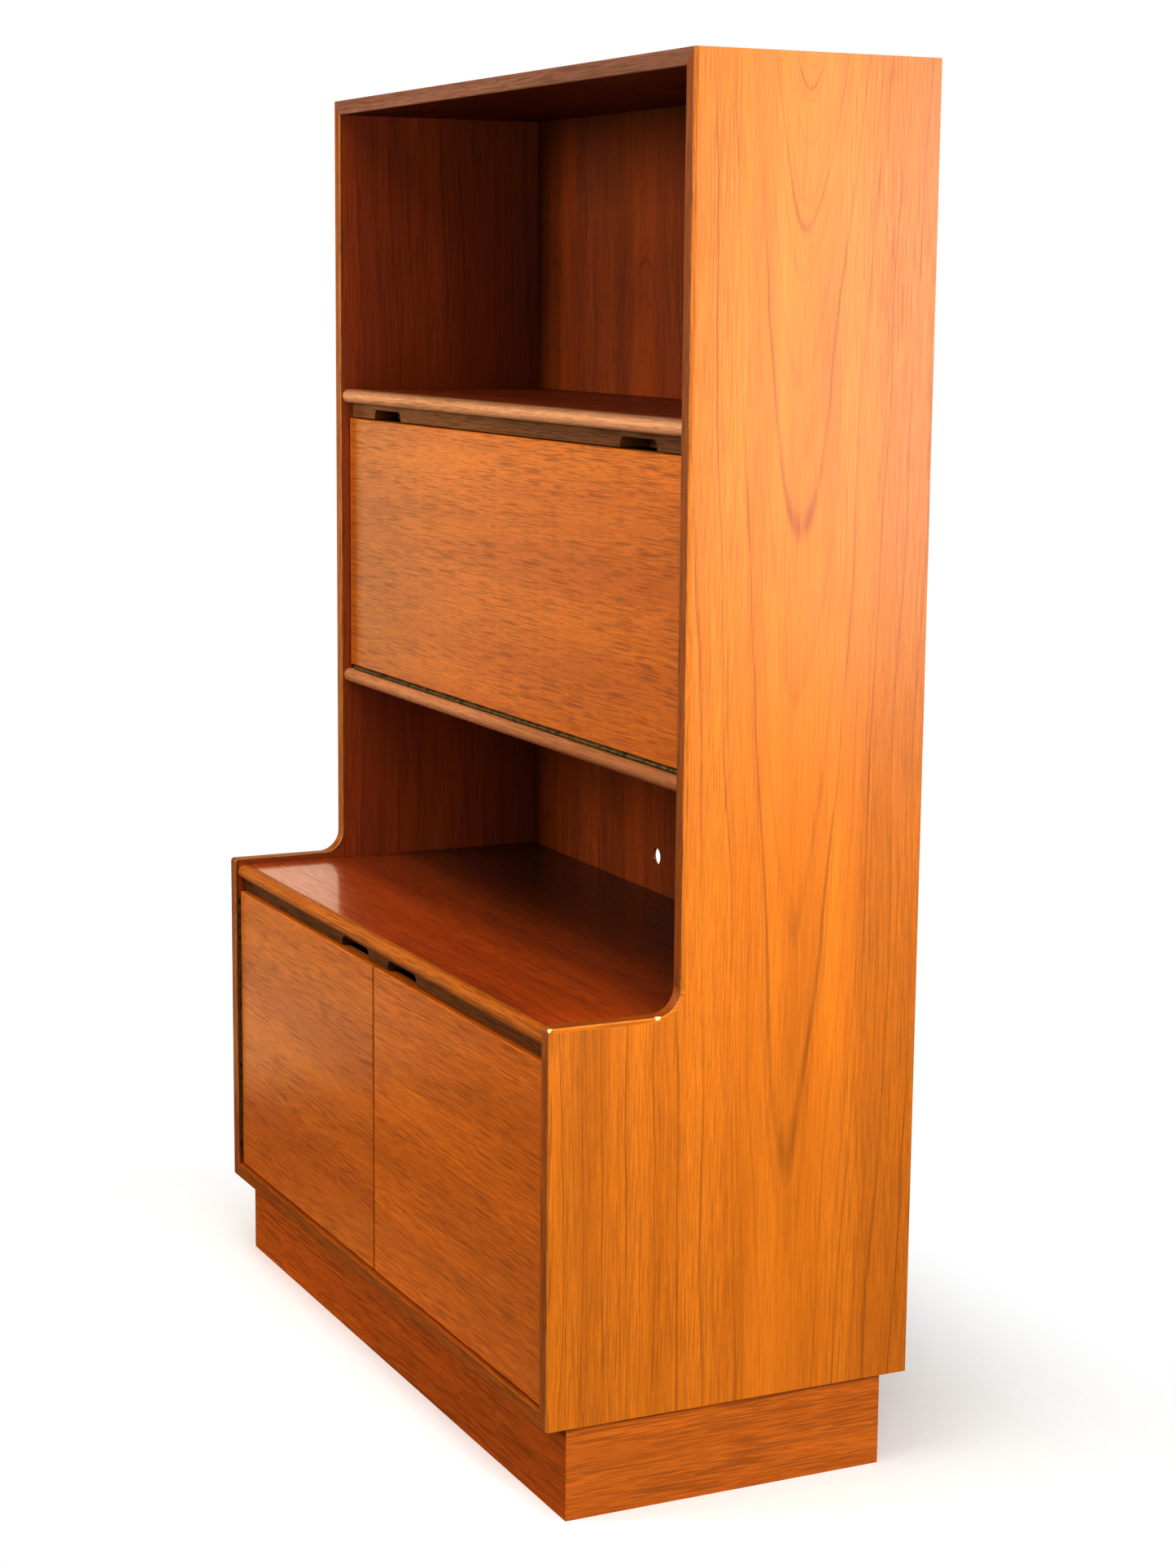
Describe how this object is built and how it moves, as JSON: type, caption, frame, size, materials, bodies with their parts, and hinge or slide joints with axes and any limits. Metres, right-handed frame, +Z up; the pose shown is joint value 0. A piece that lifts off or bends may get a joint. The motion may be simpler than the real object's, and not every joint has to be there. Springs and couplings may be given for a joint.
{
  "type": "secretary desk",
  "caption": "Tall stepped wooden wall desk with an open bookcase, a drop-front writing flap on sliding stays, an open niche with a cable hole, and a hinged-door cupboard on a plinth.",
  "frame": {"origin": "on the floor, under the middle of the desk's bounding box", "axes": "+Z up, +X to the right of someone facing the desk, +Y towards the wall behind it"},
  "size_m": [1.003, 0.44, 1.525],
  "materials": {
    "side_veneer": "satin lacquer",
    "shelf_veneer": "satin lacquer",
    "front_veneer": "satin lacquer",
    "solid_lipping": "satin lacquer",
    "solid_nosing": "satin lacquer",
    "rail_wood": "satin lacquer",
    "plinth_veneer": "satin lacquer",
    "back_plywood": "satin lacquer inside",
    "block_wood": "raw",
    "hinge_brass": "aged satin",
    "screw_brass": "aged satin",
    "screw_steel": "zinc plated",
    "stay_steel": "nickel plated satin",
    "catch_plastic": "moulded matte"
  },
  "bodies": {
    "carcass": {"side_panel_left": "side_veneer", "side_panel_right": "side_veneer", "top_panel": "side_veneer", "bottom_panel": "shelf_veneer", "back_panel": "back_plywood", "back_panel_screws": "screw_steel", "upper_lipping_left": "solid_lipping", "upper_lipping_right": "solid_lipping", "step_lipping_left": "solid_lipping", "step_lipping_right": "solid_lipping", "lower_lipping_left": "solid_lipping", "lower_lipping_right": "solid_lipping", "top_lipping": "solid_lipping", "bottom_lipping": "solid_lipping", "upper_shelf": "shelf_veneer", "desk_shelf": "shelf_veneer", "cabinet_top": "shelf_veneer", "upper_shelf_nosing": "solid_nosing", "desk_shelf_nosing": "solid_nosing", "cabinet_top_nosing": "solid_nosing", "flap_rail": "rail_wood", "door_rail": "rail_wood", "plinth_front": "plinth_veneer", "plinth_back": "plinth_veneer", "plinth_side_left": "plinth_veneer", "plinth_side_right": "plinth_veneer", "plinth_corner_blocks": "block_wood", "cabinet_shelf": "shelf_veneer", "letter_shelf": "shelf_veneer", "shelf_pegs": "hinge_brass", "flap_hinge_leaf_fixed": "hinge_brass", "flap_hinge_pin": "hinge_brass", "flap_hinge_screws_fixed": "screw_brass", "door_left_hinge_leaf_fixed": "hinge_brass", "door_left_hinge_pin": "hinge_brass", "door_right_hinge_leaf_fixed": "hinge_brass", "door_right_hinge_pin": "hinge_brass", "door_hinge_screws_fixed": "screw_brass", "flap_catches": "catch_plastic", "door_catches": "catch_plastic", "stay_left_side_plate": "stay_steel", "stay_right_side_plate": "stay_steel"},
    "flap": {"flap": "front_veneer", "flap_hinge_leaf_moving": "hinge_brass", "flap_hinge_screws_moving": "screw_brass", "flap_strikes": "stay_steel", "stay_left_bracket": "stay_steel", "stay_right_bracket": "stay_steel"},
    "door_left": {"door_left": "front_veneer", "door_left_hinge_leaf_moving": "hinge_brass", "door_left_hinge_screws": "screw_brass", "door_left_strike": "stay_steel"},
    "door_right": {"door_right": "front_veneer", "door_right_hinge_leaf_moving": "hinge_brass", "door_right_hinge_screws": "screw_brass", "door_right_strike": "stay_steel"},
    "stay_left_rod": {"stay_left_rod": "stay_steel"},
    "stay_right_rod": {"stay_right_rod": "stay_steel"},
    "stay_left_block": {"stay_left_block": "stay_steel"},
    "stay_right_block": {"stay_right_block": "stay_steel"}
  },
  "joints": [
    {"name": "flap_hinge", "type": "hinge", "parent": "carcass", "child": "flap", "pos_m": [0, -0.0565, 0.7908], "axis": [1, 0, 0], "range_deg": [0, 90]},
    {"name": "door_left_hinge", "type": "hinge", "parent": "carcass", "child": "door_left", "pos_m": [-0.4807, -0.215, 0.3117], "axis": [0, 0, -1], "range_deg": [0, 110]},
    {"name": "door_right_hinge", "type": "hinge", "parent": "carcass", "child": "door_right", "pos_m": [0.4807, -0.215, 0.3117], "axis": [0, 0, 1], "range_deg": [0, 110]},
    {"name": "stay_left_rod_pivot", "type": "hinge", "parent": "flap", "child": "stay_left_rod", "pos_m": [-0.4735, -0.02659, 0.93779], "axis": [1, 0, 0], "range_deg": [-45, 0]},
    {"name": "stay_left_block_pivot", "type": "hinge", "parent": "carcass", "child": "stay_left_block", "pos_m": [-0.4735, 0.00331, 0.92836], "axis": [1, 0, 0], "range_deg": [0, 45]},
    {"name": "stay_right_rod_pivot", "type": "hinge", "parent": "flap", "child": "stay_right_rod", "pos_m": [0.4735, -0.02659, 0.93779], "axis": [1, 0, 0], "range_deg": [-45, 0]},
    {"name": "stay_right_block_pivot", "type": "hinge", "parent": "carcass", "child": "stay_right_block", "pos_m": [0.4735, 0.00331, 0.92836], "axis": [1, 0, 0], "range_deg": [0, 45]}
  ],
  "couplings": [
    {"joint": "stay_left_rod_pivot", "follows": "flap_hinge", "ratio": -0.5},
    {"joint": "stay_left_block_pivot", "follows": "flap_hinge", "ratio": 0.5},
    {"joint": "stay_right_rod_pivot", "follows": "flap_hinge", "ratio": -0.5},
    {"joint": "stay_right_block_pivot", "follows": "flap_hinge", "ratio": 0.5}
  ]
}
